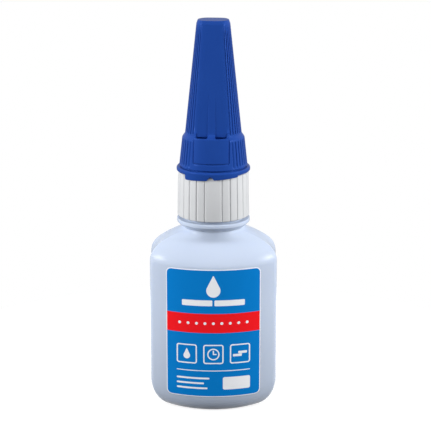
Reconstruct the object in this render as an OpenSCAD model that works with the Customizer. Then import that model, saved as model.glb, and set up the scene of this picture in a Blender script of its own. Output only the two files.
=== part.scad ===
// Oval 20 g instant adhesive bottle with a screw collar, a spout and a long screw cap.
// +Z is up, the origin is the middle of the standing face, and the front label faces -Y.

/* [Bottle body] */
// Width of the body across its narrow sides
body_w = 36.2; // [35:0.1:37]
// Depth of the body from front face to back face
body_d = 25; // [24.5:0.1:26]
// Radius of the front and back faces, seen from above
face_r = 29; // [27:0.5:32]
// Radius of the four upright corners
corner_r = 2.3; // [1.5:0.1:3]
// How far the narrow sides are hollowed between the corners
side_dip = 0.7; // [0:0.1:1]
// Height where the upright walls end and the shoulder starts
shoulder_z = 43.4; // [43.2:0.1:43.8]
// Height where the shoulder's narrow sides meet the neck
side_end_z = 52.4; // [52:0.1:52.4]
// Height where the shoulder's faces meet the neck
face_end_z = 49.8; // [49:0.1:50.6]
// How far the narrow sides draw in at the base
side_draw = 6.6; // [5:0.1:7]
// Height over which the narrow sides draw in
side_draw_h = 8.5; // [6:0.1:10]
// How far the faces draw in at the base
face_draw = 3.4; // [2.5:0.1:4]
// Height over which the faces draw in
face_draw_h = 4.8; // [3:0.1:6]
// Thickness of the blown wall
wall = 1; // [0.8:0.05:1.2]
// Height of the liquid's surface
fill_z = 32; // [20:0.5:40]

/* [Neck] */
// Radius of the neck under its thread
neck_r = 7.8; // [7.7:0.05:7.85]
// Radius of the bore through the neck
neck_bore_r = 6.3; // [6.2:0.05:6.4]
// Height of the neck's sealing rim
neck_top_z = 66; // [65.8:0.1:66.2]
// Radius of the neck's stem under the bead
stem_r = 8.8; // [8.7:0.05:8.9]
// Radius of the bead under the collar
bead_r = 10.4; // [10:0.05:10.6]
// Height where the bead's underside leaves the stem
bead_z = 52.9; // [52.8:0.1:53.2]
// Height of the bead's top
bead_top_z = 55.3; // [55.1:0.05:55.5]
// Lead of the neck's thread
neck_lead = 3.175; // [3.1:0.025:3.3]

/* [Collar] */
// Outer radius of the ribbed collar at its top
collar_r = 10; // [9.9:0.05:10.05]
// Outer radius of the ribbed collar at its lower edge
collar_low_r = 10.25; // [10.1:0.05:10.3]
// Height of the collar's lower edge
collar_z = 56.1; // [55.8:0.1:56.2]
// Height of the collar's top
collar_top_z = 68.8; // [68.6:0.1:68.9]
// Grooves round the collar, counting the two left out at front and back
groove_count = 26; // [20:2:30]
// Width of a groove
groove_w = 0.35; // [0.2:0.05:0.5]
// Depth of a groove
groove_depth = 0.25; // [0.1:0.05:0.3]

/* [Nozzle] */
// Length of the plug in the neck's bore
plug_h = 5; // [4:0.5:6]
// Radius of the flange that the collar holds down
spout_flange_r = 8.55; // [8.3:0.05:8.65]
// Radius of the spigot under the cap's thread
spigot_r = 6.2; // [6.1:0.05:6.25]
// Height of the spigot's top
spigot_top_z = 76.5; // [76.3:0.1:76.8]
// Radius of the spout at the foot of its taper
spout_r = 5; // [4.6:0.1:5.2]
// Radius of the spout's tip
tip_r = 1.4; // [1.2:0.1:1.6]
// Height of the spout's tip
tip_z = 104.6; // [103:0.1:104.7]
// Radius of the spout's inlet
inlet_r = 4.6; // [4:0.1:4.8]
// Radius of the spout's outlet
outlet_r = 0.75; // [0.6:0.05:0.8]

/* [Cap] */
// Height of the cap's top
cap_top_z = 111.8; // [111:0.1:113]
// Height of the underside of the cap's flange
cap_z = 69; // [68.95:0.05:69.2]
// Radius of the cap's flange
cap_flange_r = 10.45; // [10.4:0.01:10.6]
// Height of the cap's flange
cap_flange_h = 1.3; // [1.2:0.1:1.5]
// Radius of the grip just above the flange
grip_r = 9.55; // [9.5:0.01:9.65]
// Height of the step between grip and cone
step_z = 78.75; // [78.5:0.05:78.9]
// Radius of the grip at the step
step_r = 8.67; // [8.6:0.01:8.75]
// Height where the cone starts, above the step's chamfer
cone_z = 79.85; // [79.7:0.05:80]
// Radius of the cone at its start
cone_r = 7.87; // [7.8:0.01:7.95]
// Radius of the cone at its top
cone_top_r = 4.6; // [4.5:0.05:4.7]
// Angle from the middle of a flat facet to its edge
facet_a = 34; // [31:0.5:34.5]
// Angle by which the tightened cap stops short of square
cap_rest_a = -4.5; // [-10:0.5:10]
// Lead of the cap's thread
cap_lead = 3.75; // [3.7:0.05:4]
// Grip ribs on each side of the cap
rib_count = 15; // [11:2:15]
// Angle from one grip rib to the next
rib_pitch_a = 7.6; // [7:0.1:7.6]

/* [Labels] */
// Width of a label, measured straight across
label_w = 26.8; // [20:0.1:28]
// Height of a label
label_h = 38; // [30:0.5:38]
// Height of a label's lower edge
label_z = 5; // [5:0.1:5.4]
// Radius of a label's corners
label_corner_r = 1.5; // [0.5:0.1:3]
// Thickness of a label
label_t = 0.12; // [0.1:0.01:0.2]

/* [Hidden] */
$fn = 96;

// Air between pieces
seat_gap = 0.02;
running_gap = 0.05;
turn_gap = 0.3;

// Body outline
half_w = body_w / 2;
half_d = body_d / 2;
face_centre_y = face_r - half_d;
face_steps = 5;
corner_steps = 3;
side_steps = 2;

// Body heights
floor_t = 1.7;
rim_w = 1.8;
recess_h = 0.7;
base_steps = 6;
shoulder_steps = 10;
side_bend = 2.3;
face_bend = 1.3;
corner_fade = 3.6;
corner_top_r = 1;
corner_run = 0.3;
root_soft = 0.06;
neck_z = side_end_z + 0.2;
neck_root_r = stem_r + 0.3;
neck_hole_r = 7;
inner_drop = 0.6;

// Neck
neck_foot_z = neck_z - 0.5;
bead_edge = 0.2;
bead_wall_z = bead_z + 1.4;
bead_ring_r = 8.7;
bead_ring_top_z = bead_top_z + 0.55;

// Screw threads: a ridge is a trapezoid, wide at its foot and narrow at its crest
thread_steps = 24;
ridge_foot_w = 1.6;
ridge_crest_w = 0.8;
ridge_sink = 0.25;
flank_gap = 0.2;
mate_drop = (ridge_foot_w + ridge_crest_w) / 2 + flank_gap;
neck_ridge_h = 0.85;
neck_ridge_z = 57.6;
neck_ridge_turns = 1.75;
collar_bore_r = neck_r + neck_ridge_h + turn_gap;
collar_ridge_a = 120;
collar_ridge_turns = 1.5;
spigot_ridge_h = 0.7;
spigot_ridge_z = 71.35;
spigot_ridge_a = -72;
spigot_ridge_turns = 1.25;
cap_bore_r = spigot_r + spigot_ridge_h + turn_gap - running_gap;
cap_ridge_turns = 1.5;

// Collar and spout
collar_lip_h = 1.5;
collar_edge = 0.25;
collar_draft_a = atan((collar_low_r - collar_r) / (collar_top_z - collar_z));
spout_flange_z = neck_top_z + seat_gap;
spout_flange_top_z = collar_top_z - collar_lip_h - running_gap;
lip_hole_r = spigot_r + spigot_ridge_h + turn_gap;
plug_r = neck_bore_r - running_gap;
plug_edge = 0.5;
spout_foot_z = spigot_top_z + 1.2;
throat_z = 75;
throat_r = 4;
outlet_z = 98;

// Cap
flange_edge = 0.35;
lip_groove_r = 9.15;
grip_z = cap_z + cap_flange_h + 0.4;
cone_top_z = cap_top_z - 1;
cap_edge = 0.35;
bore_top_z = spigot_top_z + 0.7;
hollow_z = 78.4;
hollow_r = 5.6;
hollow_top_z = 107.5;
hollow_top_r = 3.2;
boss_r = 2.1;
pin_r = 0.45;
pin_point_h = 1.2;
pin_low_z = 97;
pin_top_z = 108;
pad_half_w = 4.95;
pad_z = 72.6;
pad_h = 7;
pad_proud = 0.3;
pad_back_y = 7;
slit_in_y = 5.95;
slit_out_r = 8.4;
slit_z = 78.9;
slit_top_z = 79.9;
slit_x = 1.15;
slit_w = 3.1;
facet_z = pad_z + pad_h;
buttress_w = 2.2;
buttress_h = 8;
buttress_proud = 0.15;
tab_half_a = 46;
tab_in_r = collar_r + 0.15;
tab_out_r = 10.42;
tab_z = 68.18;
tab_slope_a = 3.6;
tab_low_z = 67.4;
tab_high_z = cap_z + 0.6;
notch_w = 1.9;
notch_top_z = 69.4;
rib_a = 3.8;
rib_h = 0.13;
rib_sink = 0.3;
rib_end = 0.6;
big = 40;

// Liquid
liquid_gap = 0.05;
liquid_steps = 4;

function reverse(list) = [for (i = [len(list) - 1:-1:0]) list[i]];
function between(z, z0, r0, z1, r1) = r0 + (r1 - r0) * (z - z0) / (z1 - z0);
function grip_at(z) = between(z, grip_z, grip_r, step_z, step_r);
function cone_at(z) = between(z, cone_z, cone_r, cone_top_z, cone_top_r);

// A quarter of the body's outline, from the middle of the front face to the middle of the right side
function quarter(r) =
    let (corner_a = asin((half_w - r) / (face_r - r)))
    let (corner_y = face_centre_y - (face_r - r) * cos(corner_a))
        concat(
            [for (i = [0:face_steps - 1])
                let (a = corner_a * i / face_steps)
                    [face_r * sin(a), face_centre_y - face_r * cos(a)]],
            [for (i = [0:corner_steps])
                let (a = corner_a + (90 - corner_a) * i / corner_steps)
                    [half_w - r + r * sin(a), corner_y - r * cos(a)]],
            [for (i = [1:side_steps])
                let (share = 1 - i / side_steps)
                    [half_w - side_dip * (1 - share * share), corner_y * share]]
        );

// The whole outline, anticlockwise from the middle of the front face, for a radius of its corners
function outline(r) =
    let (q = quarter(r))
    let (last = len(q) - 1)
        concat(
            q,
            [for (i = [last - 1:-1:0]) [q[i].x, -q[i].y]],
            [for (i = [1:last]) [-q[i].x, -q[i].y]],
            [for (i = [last - 1:-1:1]) [-q[i].x, q[i].y]]
        );

// Section of the body: the outline at half width ax and half depth ay, eased to an ellipse by blend
function section(z, ax, ay, blend = 0, r = corner_r) = [
    for (p = outline(r))
        let (q = [p.x / half_w, p.y / half_d])
        let (ease = 1 - blend + blend / norm(q))
            [ax * q.x * ease, ay * q.y * ease, z]
];

// How far a wall draws in at a height above the base: a quarter of an ellipse
function draw_in(rise, reach, height) = reach * (1 - sqrt(1 - pow(max(height - rise, 0) / height, 2)));

// Section of the lower body at a rise above its floor, for a skin that lies gap inside the outer one
function lower_section(rise, gap, floor_z) = section(
    floor_z + rise,
    half_w - gap - draw_in(rise, side_draw, side_draw_h),
    half_d - gap - draw_in(rise, face_draw, face_draw_h)
);

function base_sections(gap, floor_z) = [
    for (i = [0:base_steps])
        lower_section(side_draw_h * (1 - cos(90 * i / base_steps)), gap, floor_z)
];

// Share of its reach that the shoulder keeps at a share t of its rise, with a soft hollow where it runs out
function kept(t, bend) = root_soft * ln(1 + exp((1 - pow(t, bend)) / root_soft));

// Sections of the shoulder: the faces lean in first, the narrow sides bow over to a higher end, and the
// corners tighten to a crest and fade into a round root
function shoulder_sections(gap, root_r, drop) = [
    for (i = [0:shoulder_steps])
        let (rise = (neck_z - shoulder_z) * i / shoulder_steps)
        let (side_t = rise / (side_end_z - shoulder_z))
        let (face_t = rise / (face_end_z - shoulder_z))
            section(
                shoulder_z + rise - drop * i / shoulder_steps,
                root_r + (half_w - gap - root_r) * kept(side_t, side_bend),
                root_r + (half_d - gap - root_r) * kept(face_t, face_bend),
                pow(min(side_t, 1), corner_fade),
                corner_r + (corner_top_r - corner_r) * min(side_t / corner_run, 1)
            )
];

// Closed skin through a list of rings that have the same number of points
module loft(rings) {
    n = len(rings[0]);
    last = (len(rings) - 1) * n;
    polyhedron(
        points = [for (ring = rings) each ring],
        faces = concat(
            [[for (j = [0:n - 1]) j]],
            [for (start = [0:n:last - n], j = [0:n - 1])
                let (a = start + j)
                let (b = start + (j + 1) % n)
                    each [[a, a + n, b + n], [a, b + n, b]]],
            [[for (j = [n - 1:-1:0]) last + j]]
        )
    );
}

// Right-hand screw ridge between two radii, with its own width at each; z is its height at angle 0
module ridge(in_r, in_w, out_r, out_w, lead, z, start_a, turns) {
    profile = [[in_r, -in_w / 2], [in_r, in_w / 2], [out_r, out_w / 2], [out_r, -out_w / 2]];
    loft([
        for (i = [0:turns * thread_steps])
            let (a = start_a + i * 360 / thread_steps)
                [for (p = profile) [p.x * cos(a), p.x * sin(a), p.y + z + lead * a / 360]]
    ]);
}

module outer_ridge(core_r, height, lead, z, start_a, turns) {
    ridge(core_r - ridge_sink, ridge_foot_w, core_r + height, ridge_crest_w, lead, z, start_a, turns);
}

module inner_ridge(bore_r, height, lead, z, start_a, turns) {
    ridge(bore_r - height, ridge_crest_w, bore_r + ridge_sink, ridge_foot_w, lead, z, start_a, turns);
}

module neck() {
    rotate_extrude()
        polygon([
            [neck_bore_r, neck_foot_z],
            [stem_r, neck_foot_z],
            [stem_r, bead_z],
            [bead_r - bead_edge, bead_wall_z - bead_edge],
            [bead_r, bead_wall_z],
            [bead_r, bead_top_z - bead_edge],
            [bead_r - bead_edge, bead_top_z],
            [bead_ring_r, bead_top_z],
            [bead_ring_r, bead_ring_top_z],
            [neck_r, bead_ring_top_z],
            [neck_r, neck_top_z],
            [neck_bore_r, neck_top_z]
        ]);
    outer_ridge(neck_r, neck_ridge_h, neck_lead, neck_ridge_z, 0, neck_ridge_turns);
}

module bottle() {
    foot_x = half_w - side_draw - rim_w;
    foot_y = half_d - face_draw - rim_w;
    color("lightsteelblue") {
        loft(concat(
            [section(recess_h, foot_x - recess_h, foot_y - recess_h), section(0, foot_x, foot_y)],
            base_sections(0, 0),
            shoulder_sections(0, neck_root_r, 0),
            [section(neck_z, neck_hole_r, neck_hole_r, 1)],
            reverse(shoulder_sections(wall, neck_hole_r, inner_drop)),
            reverse(base_sections(wall, floor_t))
        ));
        neck();
    }
}

module adhesive() {
    gap = wall + liquid_gap;
    floor_z = floor_t + liquid_gap;
    color("lightyellow")
        loft(concat(
            [for (i = [0:liquid_steps])
                lower_section(side_draw_h * (1 - cos(90 * i / liquid_steps)), gap, floor_z)],
            [section(fill_z, half_w - gap, half_d - gap)]
        ));
}

module nozzle() {
    color("whitesmoke") {
        rotate_extrude()
            polygon([
                [inlet_r, spout_flange_z - plug_h],
                [plug_r - plug_edge, spout_flange_z - plug_h],
                [plug_r, spout_flange_z - plug_h + plug_edge],
                [plug_r, spout_flange_z],
                [spout_flange_r, spout_flange_z],
                [spout_flange_r, spout_flange_top_z],
                [spigot_r, spout_flange_top_z],
                [spigot_r, spigot_top_z],
                [spout_r, spout_foot_z],
                [tip_r, tip_z],
                [outlet_r, tip_z],
                [outlet_r, outlet_z],
                [throat_r, spout_foot_z],
                [inlet_r, throat_z]
            ]);
        outer_ridge(spigot_r, spigot_ridge_h, cap_lead, spigot_ridge_z, spigot_ridge_a, spigot_ridge_turns);
    }
}

module ribbed_collar() {
    color("white") {
        difference() {
            rotate_extrude()
                polygon([
                    [collar_bore_r, collar_z],
                    [collar_low_r - collar_edge, collar_z],
                    [collar_low_r, collar_z + collar_edge],
                    [collar_r, collar_top_z],
                    [lip_hole_r, collar_top_z],
                    [lip_hole_r, collar_top_z - collar_lip_h],
                    [collar_bore_r, collar_top_z - collar_lip_h]
                ]);
            for (i = [1:groove_count - 1])
                if (i != groove_count / 2)
                    rotate([0, 0, i * 360 / groove_count - 90])
                        translate([collar_r - groove_depth, 0, collar_top_z])
                            rotate([0, collar_draft_a, 0])
                                translate([0, -groove_w / 2, -big / 2])
                                    cube([1, groove_w, big]);
        }
        inner_ridge(
            collar_bore_r,
            neck_ridge_h,
            neck_lead,
            neck_ridge_z - mate_drop,
            collar_ridge_a,
            collar_ridge_turns
        );
    }
}

// Turned wall of the cap, with its bore, its hollow and the boss that holds the pin
module cap_wall() {
    rotate_extrude()
        polygon([
            [cap_bore_r, cap_z],
            [cap_flange_r - flange_edge, cap_z],
            [cap_flange_r, cap_z + flange_edge],
            [cap_flange_r, cap_z + cap_flange_h - 2 * flange_edge],
            [cap_flange_r - flange_edge, cap_z + cap_flange_h],
            [lip_groove_r, cap_z + cap_flange_h],
            [lip_groove_r, grip_z],
            [grip_r, grip_z],
            [step_r, step_z],
            [cone_r, cone_z],
            [cone_top_r, cone_top_z],
            [cone_top_r - cap_edge, cap_top_z],
            [0, cap_top_z],
            [0, pin_top_z + running_gap],
            [pin_r + running_gap, pin_top_z + running_gap],
            [pin_r + running_gap, tip_z + turn_gap],
            [boss_r, tip_z + turn_gap],
            [boss_r, hollow_top_z],
            [hollow_top_r, hollow_top_z],
            [hollow_r, hollow_z],
            [cap_bore_r, bore_top_z]
        ]);
}

// Space outside the flat facet on the front of the cone
module facet_space() {
    lean_a = atan((cone_r - cone_top_r) * cos(facet_a) / (cone_top_z - cone_z));
    translate([0, -cone_at(facet_z) * cos(facet_a), facet_z])
        rotate([-lean_a, 0, 0])
            children();
}

module cap_facet() {
    facet_space()
        translate([-big / 2, -big, 0])
            cube([big, big, big]);
}

// Raised pad on the front of the grip, one skin thickness proud of it
module cap_pad() {
    intersection() {
        translate([0, 0, pad_z])
            cylinder(r1 = grip_at(pad_z) + pad_proud, r2 = grip_at(facet_z) + pad_proud, h = pad_h);
        translate([-pad_half_w, -big, pad_z - 1])
            cube([2 * pad_half_w, big - pad_back_y, pad_h + 2]);
    }
}

// Slits behind the pad, one on each side of the buttress, which undercut the facet a little
module cap_slits() {
    intersection() {
        translate([0, 0, slit_z])
            cylinder(r = slit_out_r, h = slit_top_z - slit_z);
        for (x = [slit_x, -slit_x - slit_w])
            translate([x, -big, slit_z - 1])
                cube([slit_w, big - slit_in_y, big]);
    }
}

// Low rib that runs from the top of the pad up the middle of the facet
module cap_buttress() {
    facet_space()
        translate([-buttress_w / 2, -buttress_proud, -buttress_proud])
            cube([buttress_w, 2 * buttress_proud, buttress_h]);
}

// Skirt tab that hangs over the collar: its lower edge climbs with the thread and has a V notch
module cap_tab() {
    difference() {
        intersection() {
            rotate([0, 0, -90 - tab_half_a])
                rotate_extrude(angle = 2 * tab_half_a)
                    polygon([
                        [tab_in_r, tab_low_z],
                        [tab_out_r, tab_low_z],
                        [tab_out_r, tab_high_z],
                        [tab_in_r, tab_high_z]
                    ]);
            translate([0, 0, tab_z])
                rotate([0, -tab_slope_a, 0])
                    translate([-big / 2, -big / 2, 0])
                        cube([big, big, big]);
        }
        translate([0, -cap_bore_r, 0])
            rotate([90, 0, 0])
                linear_extrude(height = big)
                    polygon([[-notch_w / 2, tab_z - 0.2], [notch_w / 2, tab_z - 0.2], [0, notch_top_z]]);
    }
}

// Upright grip rib on a turned wall, from one height and radius to another
module grip_rib(low_z, low_r, high_z, high_r) {
    rotate([0, 0, -rib_a / 2])
        rotate_extrude(angle = rib_a)
            polygon([
                [low_r - rib_sink, low_z],
                [low_r + rib_h, low_z + rib_end],
                [high_r + rib_h, high_z - rib_end],
                [high_r - rib_sink, high_z]
            ]);
}

module cap_ribs() {
    for (side_a = [0, 180], i = [0:rib_count - 1])
        rotate([0, 0, side_a + (i - (rib_count - 1) / 2) * rib_pitch_a]) {
            grip_rib(grip_z + 0.05, grip_at(grip_z + 0.05), step_z - 0.05, grip_at(step_z - 0.05));
            grip_rib(cone_z + 0.1, cone_at(cone_z + 0.1), cone_top_z - 0.3, cone_at(cone_top_z - 0.3));
        }
}

module cap() {
    color("royalblue")
        rotate([0, 0, cap_rest_a]) {
            difference() {
                union() {
                    difference() {
                        cap_wall();
                        cap_facet();
                        rotate([0, 0, 180])
                            cap_facet();
                    }
                    for (face_a = [0, 180])
                        rotate([0, 0, face_a])
                            cap_pad();
                }
                cap_slits();
                rotate([0, 0, 180])
                    cap_slits();
            }
            cap_ribs();
            for (face_a = [0, 180])
                rotate([0, 0, face_a]) {
                    cap_buttress();
                    cap_tab();
                }
            rotate([0, 0, -cap_rest_a])
                inner_ridge(
                    cap_bore_r,
                    spigot_ridge_h,
                    cap_lead,
                    spigot_ridge_z - mate_drop,
                    0,
                    cap_ridge_turns
                );
        }
}

module cap_pin() {
    color("silver")
        rotate_extrude()
            polygon([
                [0, pin_low_z],
                [pin_r, pin_low_z + pin_point_h],
                [pin_r, pin_top_z],
                [0, pin_top_z]
            ]);
}

function rounded_corner(x, z, start_a) = [
    for (a = [start_a:30:start_a + 90])
        [x + label_corner_r * cos(a), z + label_corner_r * sin(a)]
];

// Thin film bent over the body's front face
module label() {
    in_r = face_r + seat_gap;
    x = label_w / 2 - label_corner_r;
    low_z = label_z + label_corner_r;
    high_z = label_z + label_h - label_corner_r;
    intersection() {
        rotate([90, 0, 0])
            linear_extrude(height = big)
                polygon(concat(
                    rounded_corner(x, high_z, 0),
                    rounded_corner(-x, high_z, 90),
                    rounded_corner(-x, low_z, 180),
                    rounded_corner(x, low_z, 270)
                ));
        translate([0, face_centre_y, 0])
            difference() {
                cylinder(r = in_r + label_t, h = shoulder_z);
                translate([0, 0, -1])
                    cylinder(r = in_r, h = shoulder_z + 2);
            }
    }
}

module front_label() {
    color("dodgerblue")
        label();
}

module rear_label() {
    color("dodgerblue")
        rotate([0, 0, 180])
            label();
}

bottle();
adhesive();
nozzle();
ribbed_collar();
cap();
cap_pin();
front_label();
rear_label();
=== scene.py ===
"""Looks of an oval instant adhesive bottle: blown bottle, ribbed collar, spout, screw cap and two labels.

Shapes are worked out in millimetres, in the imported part's own frame, and reach their meshes in metres.
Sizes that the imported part's boxes show are read from them, and the rest repeat its drawing.
"""
import math

import bpy
import numpy as np
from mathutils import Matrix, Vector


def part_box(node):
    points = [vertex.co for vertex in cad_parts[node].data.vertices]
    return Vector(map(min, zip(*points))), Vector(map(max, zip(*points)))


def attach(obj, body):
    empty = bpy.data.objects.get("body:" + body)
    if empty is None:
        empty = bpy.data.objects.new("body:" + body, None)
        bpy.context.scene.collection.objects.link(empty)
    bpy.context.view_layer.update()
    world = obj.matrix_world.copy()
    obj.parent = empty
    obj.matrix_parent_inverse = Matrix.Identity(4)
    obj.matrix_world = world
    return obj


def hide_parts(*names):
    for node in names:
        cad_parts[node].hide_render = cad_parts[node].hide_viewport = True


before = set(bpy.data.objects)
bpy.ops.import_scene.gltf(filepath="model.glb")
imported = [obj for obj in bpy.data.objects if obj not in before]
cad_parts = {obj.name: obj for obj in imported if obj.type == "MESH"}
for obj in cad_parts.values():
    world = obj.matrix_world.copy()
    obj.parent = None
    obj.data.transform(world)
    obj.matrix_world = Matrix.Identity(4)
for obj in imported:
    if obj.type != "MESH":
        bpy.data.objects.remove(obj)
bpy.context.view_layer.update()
MM = 0.001


def corners(node):
    """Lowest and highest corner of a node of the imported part, in millimetres."""
    low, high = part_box(node)
    return np.array(low) / MM, np.array(high) / MM


# Bottle: half sizes and neck from the frame, then the curves of its walls
half_w, half_d, neck_top = corners("bottle")[1]
FACE_R = 29
CORNER_R = 2.3
SIDE_DIP = 0.7
SHOULDER_Z = 43.4
SIDE_END_Z = 52.4
FACE_END_Z = 49.8
SIDE_BEND = 2.3
FACE_BEND = 1.3
CORNER_FADE = 3.6
CORNER_TOP_R = 0.5
CORNER_RUN = 0.3
ROOT_SOFT = 0.06
SIDE_DRAW = 6.6
SIDE_DRAW_H = 8.5
FACE_DRAW = 3.4
FACE_DRAW_H = 4.8
WALL = 1
FLOOR = 1.7
RIM_W = 1.8
RECESS = 0.7
RECESS_IN = 6
FOOT_SOFT = 0.35
STEM_R = 8.8
BEAD_R = 10.4
BEAD_Z = 52.9
BEAD_WALL_Z = 54.3
BEAD_TOP = 55.3
BEAD_RING_R = 8.7
BEAD_RING_TOP = 55.85
NECK_R = 7.8
NECK_BORE_R = 6.3
NECK_SOFT = [0.4, 0.2, 0.1, 0.1, 0.3, 0.35, 0.35]
INNER_DROP = 0.6

# Screw ridges: width at foot and crest, run-out, height of the rows that draw them, then each ridge's height,
# lead, place and length
RIDGE_FOOT = 1.6
RIDGE_CREST = 0.8
RIDGE_FADE_A = 25
NECK_ROW = 0.15
COLLAR_ROW = 0.17
SPIGOT_ROW = 0.17
CAP_ROW = 0.3
NECK_RIDGE = {"rise": 0.85, "lead": 3.175, "at_zero": 57.6, "first_a": 0, "turns": 1.75}
COLLAR_RIDGE = {"rise": -0.85, "lead": 3.175, "at_zero": 56.2, "first_a": 120, "turns": 1.5}
SPIGOT_RIDGE = {"rise": 0.7, "lead": 3.75, "at_zero": 71.35, "first_a": -72, "turns": 1.25}
CAP_RIDGE = {"rise": -0.7, "lead": 3.75, "at_zero": 69.95, "first_a": 0, "turns": 1.5}

# Collar
collar_low, collar_high = corners("ribbed_collar")
collar_r = collar_high[0]
COLLAR_TOP_R = 10
collar_z = collar_low[2]
collar_top = collar_high[2]
COLLAR_BORE_R = 8.95
LIP_HOLE_R = 7.2
LIP_Z = 67.3
GROOVES = 26
GROOVE_DEPTH = 0.25
GROOVE_HALF_A = 1.5
GROOVE_COLUMNS, FLAT_COLUMNS = 9, 5
GROOVED_FROM_R = 9.5
COLLAR_SOFT = [0.35, 0.5, 0.3, 0.15, 0.15, 0.3]

# Nozzle
nozzle_low, nozzle_high = corners("nozzle")
flange_r = nozzle_high[0]
tip_z = nozzle_high[2]
PLUG_R = 6.25
PLUG_BEVEL = 0.5
FLANGE_Z, FLANGE_TOP = 66.02, 67.25
SPIGOT_R = 6.2
SPIGOT_TOP = 76.5
TAPER_R, TAPER_Z = 5, 77.7
INLET_R = 4.6
INLET_TOP = 75
TAPER_BORE_R = 4
TIP_R = 1.4
OUTLET_R = 0.75
OUTLET_Z = 98
NOZZLE_SOFT = [0.2, 0.3, 0.3, 0.1, 0.25, 0.25, 0.3, 0.35, 0.8, 0.28, 0.15, 3, 2, 2]

# Pin
pin_low, pin_high = corners("cap_pin")
POINT_R, POINT_H = 0.05, 1.2
HEAD_FLAT_R = 0.1
PIN_SOFT = [0.6, 0.12]

# Cap: inside, rim and lip, grip and cone, facet, pads with slits and buttress, ribs, tab
cap_top = corners("cap")[1][2]
CAP_REST_A = -4.5
PIN_PLAY = 0.05
HOLE_END_R = 0.2
BOSS_R = 2.1
BOSS_GAP = 0.3
HOLLOW_TOP, HOLLOW_TOP_R = 107.5, 3.2
HOLLOW_Z, HOLLOW_R = 78.4, 5.6
CAP_BORE_R = 7.15
CAP_BORE_TOP = 77.2
INSIDE_SOFT = [0.1, 0.15, 0.25, 0.3, 0.4, 1, 0.4, 0.3]
CAP_Z = 69
RIM_IN_R = 9.5
RIM_H = 0.6
RIM_SOFT = 0.45
CAP_LIP_R = 10.45
CAP_LIP_H = 1.3
LIP_GROOVE_R = 9.15
LIP_SOFT = [0.5, 0.12, 0.12, 0.08]
GRIP_Z, GRIP_R = 70.7, 9.68
STEP_Z, STEP_R = 78.75, 8.8
CONE_Z, CONE_R = 79.85, 8.0
CONE_TOP_Z, CONE_TOP_R = 110.8, 4.72
STEP_SOFT = [0.25, 0.3]
CROWN_R = 4.36
CROWN_SOFT = [0.5, 0.2]
FACET_A = 35.3
FACET_SOFT = 0.9
FACET_Z = 81
FACET_TOP = 110.4
FACET_MAX_A = 60
WALL_Z = 71
PAD_HALF_W = 4.95
PAD_Z, PAD_TOP = 72.6, 79.6
PAD_PROUD = 0.17
PAD_WALL = 0.46
PAD_LINE = 0.26
PAD_LINE_A, PAD_LINE_FROM_A = 0.8, 1
PAD_EDGE_A = 0.7
PAD_LEAD = 0.3
PAD_LINE_DROP, PAD_EDGE_RISE = 0.05, 0.1
SLIT_Z = 78.9
SLIT_IN_Y = 5.95
SLIT_RISE, FACET_RISE = 0.1, 0.15
BUTTRESS_A = 9
BUTTRESS_EDGE_A = 0.8
BUTTRESS_PROUD = 0.15
BUTTRESS_FOOT = ((8.3, 0.08), (7.8, 0.17), (7.3, 0.32), (6.95, 0.54))
BUTTRESS_BEND_Z, BUTTRESS_BEND = 80.5, 0.05
BUTTRESS_TOP = 95
PAD_SOFT = [0.08, 0.1, 0.18]
SLIT_SOFT = [0.1, 0.15, 0.15, 0.06, 0.08]
BUTTRESS_SOFT = [0.2, 0.2, 0.2, 0.2, 0.2]
RIB_COUNT = 15
RIB_PITCH_A = 7.6
RIB_HALF_A = 2.45
RIB_FLANK_A = 0.9
RIB_H = 0.22
RIBS_FROM_A = 46.4
GRIP_GROOVE = {"low": GRIP_Z + 0.3, "low_fade": 0.5, "high": STEP_Z - 0.15, "high_fade": 0.4}
CONE_GROOVE = {"low": CONE_Z + 0.2, "low_fade": 0.4, "high": CONE_TOP_Z - 1, "high_fade": 1.5}
TAB_HALF_A = 46
TAB_IN_R, TAB_OUT_R = 10.15, 10.42
TAB_JOIN_H, TAB_LIP_H = 0.35, 0.5
TAB_SOFT = [0.04, 0.1, 0.12, 0.15, 0.1]
TAB_Z = 68.18
TAB_SLOPE_A = 3.6
TAB_CORNER_R = 0.4
TAB_END = 0.1
NOTCH_TOP = 69.3
NOTCH_STEEP = 1.28
NOTCH_ROUND = 0.2

# Columns of the cap, in degrees from the middle of a face: start, stop and step of each run up to the ribs
CAP_RUNS = (
    (0, 6, 0.75),
    (6, 8, 1),
    (8, 10.3, 0.4),
    (10.4, 28.8, 2.3),
    (29, 38, 0.45),
    (38, 45, 0.95),
    (45, RIBS_FROM_A, 0.2),
)

# Liquid, and the heights of the shade painted into the bottle's wall: it darkens from the liquid's level down
# to the first, and fades out again between the other two at the foot
liquid_low, liquid_high = corners("adhesive")
LIQUID_GAP = 1.05
MENISCUS_H = 0.35
MENISCUS_REACH = 0.5
MENISCUS_INSETS = [0, 0.06, 0.15, 0.3, 0.5, 0.8, 1.2, 2, 6]
DARKEST_PAINTED_SHADE_Z = 6
FOOT_UNSHADED_Z, WALL_SHADED_Z = 1, 4

# Labels
label_low, label_high = corners("front_label")
LABEL_CORNER_R = 1.5
LABEL_T = 0.1
LABEL_SEAT = 0.02
BORDER_W = 0.2
INK_EDGE = 0.03

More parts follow.
